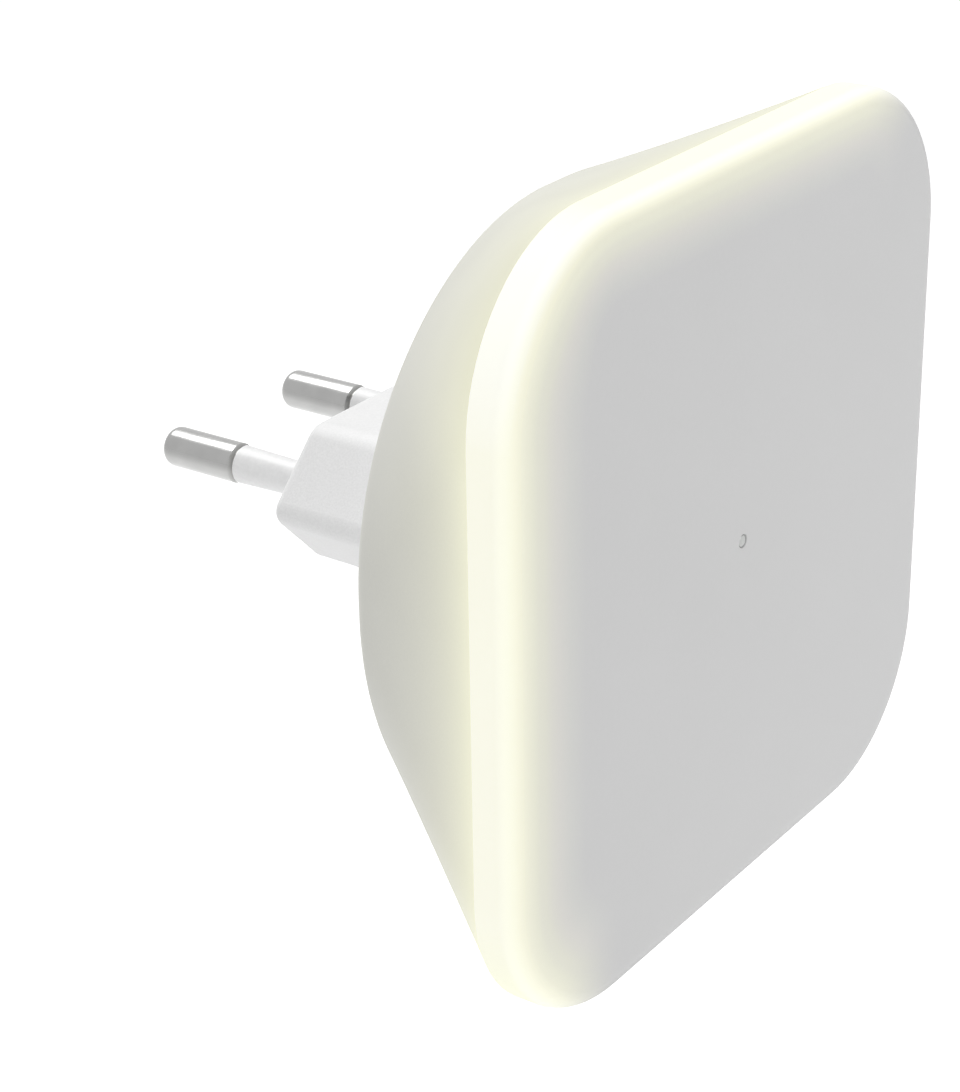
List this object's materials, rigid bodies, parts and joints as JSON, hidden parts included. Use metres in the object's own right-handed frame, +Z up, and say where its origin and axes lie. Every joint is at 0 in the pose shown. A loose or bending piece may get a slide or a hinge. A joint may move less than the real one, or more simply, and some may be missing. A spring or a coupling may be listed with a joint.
{
  "type": "plug-in night light",
  "caption": "Square plug-in night light with a glowing rim, a round Europlug back plate and a sliding ON, OFF and AUTO switch.",
  "frame": {"origin": "centre of the plug face, midway between the pins", "axes": "+Y along the pins into the wall, +Z up, the switch above the plug"},
  "size_m": [0.0728, 0.0595, 0.0729],
  "materials": {
    "opal_cover": "fine satin",
    "housing": "fine satin",
    "plug_plastic": "fine spark texture",
    "pin_metal": "nickel plated",
    "sleeve": "smooth",
    "inner_plastic": "as moulded",
    "screw_steel": "zinc plated",
    "line_insulation": "smooth",
    "neutral_insulation": "smooth",
    "knob_plastic": "as moulded",
    "contact_brass": "plated",
    "frame_steel": "plated",
    "phenolic": "laminate",
    "board_green": "solder mask",
    "board_white": "solder mask",
    "film_box": "moulded",
    "can_sleeve": "shrink sleeve",
    "resistor": "lacquered",
    "fuse_coat": "lacquered",
    "varistor_coat": "dipped",
    "chip_black": "moulded",
    "header_black": "moulded",
    "led_package": "phosphor",
    "shade_white": "smooth",
    "sensor_clear": "smooth",
    "pipe_clear": "clear"
  },
  "bodies": {
    "light": {"front_cover": "opal_cover", "rear_housing": "housing", "plug_plate": "plug_plastic", "line_pin": "pin_metal", "neutral_pin": "pin_metal", "line_sleeve": "sleeve", "neutral_sleeve": "sleeve", "pin_clamp": "inner_plastic", "clamp_screw": "screw_steel", "line_wire": "line_insulation", "neutral_wire": "neutral_insulation", "switch_frame": "frame_steel", "switch_base": "phenolic", "switch_terminals": "contact_brass", "power_board": "board_green", "board_screws": "screw_steel", "film_capacitor": "film_box", "electrolytic_capacitor": "can_sleeve", "bleed_resistor": "resistor", "fuse_resistor": "fuse_coat", "varistor": "varistor_coat", "bridge_rectifier": "chip_black", "control_chip": "chip_black", "board_header": "header_black", "header_contacts": "contact_brass", "led_board": "board_white", "led_board_screws": "screw_steel", "leds": "led_package", "light_shade": "shade_white", "light_sensor": "sensor_clear", "light_pipe": "pipe_clear"},
    "switch": {"switch_slider": "knob_plastic", "switch_contact": "contact_brass"}
  },
  "joints": [
    {"name": "switch_slide", "type": "slide", "parent": "light", "child": "switch", "axis": [-1, 0, 0], "range_m": [-0.003, 0.003]}
  ]
}
